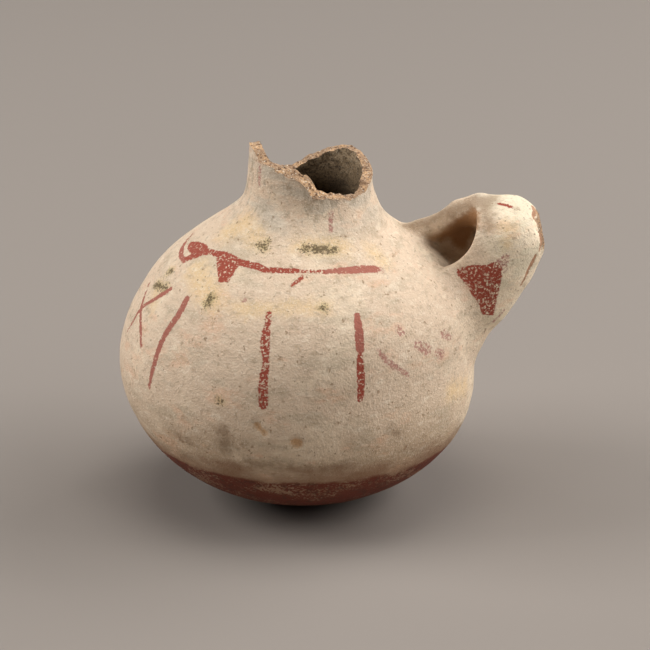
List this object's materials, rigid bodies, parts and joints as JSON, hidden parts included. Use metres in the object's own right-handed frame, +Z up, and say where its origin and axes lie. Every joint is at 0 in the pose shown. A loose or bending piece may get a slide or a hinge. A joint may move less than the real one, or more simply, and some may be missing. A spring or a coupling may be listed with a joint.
{
  "type": "bottle",
  "caption": "Small round-bellied earthenware bottle with a broken neck and a hollow hooded lug on one side, cream slip with red painted strokes.",
  "frame": {"origin": "middle of the small flat worn on the rounded base, on the surface that the bottle stands on", "axes": "+Z up through the neck, +X towards the side lug, -Y towards the painted front"},
  "size_m": [0.1693, 0.1424, 0.1468],
  "materials": {
    "slipped_earthenware": "dry matte cream slip over pinkish brown fired clay, brick red painted strokes and base"
  },
  "bodies": {
    "root": {"bottle": "slipped_earthenware"}
  },
  "joints": []
}
